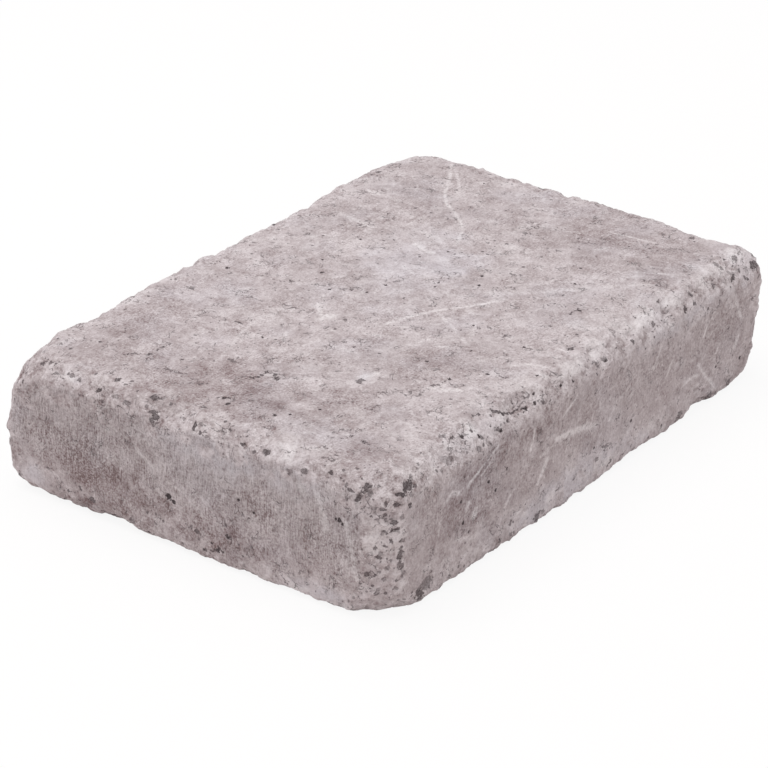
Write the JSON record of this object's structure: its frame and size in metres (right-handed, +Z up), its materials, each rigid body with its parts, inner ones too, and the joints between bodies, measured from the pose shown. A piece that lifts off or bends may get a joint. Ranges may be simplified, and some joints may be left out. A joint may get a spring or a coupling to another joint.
{
  "type": "tumbled concrete paver",
  "caption": "Rectangular tumbled concrete paver with flat faces, battered arrises and knocked corners, laid flat for paths, patios and drives.",
  "frame": {"origin": "middle of the bed face, on which the paver lies", "axes": "+X along the length, +Y across the width, +Z up, out of the wearing face"},
  "size_m": [0.267, 0.178, 0.057],
  "materials": {
    "concrete": "matt grey cast concrete, mottled with pale bloom, with small dark aggregate showing where the arrises are battered"
  },
  "bodies": {
    "root": {"paver": "concrete"}
  },
  "joints": []
}
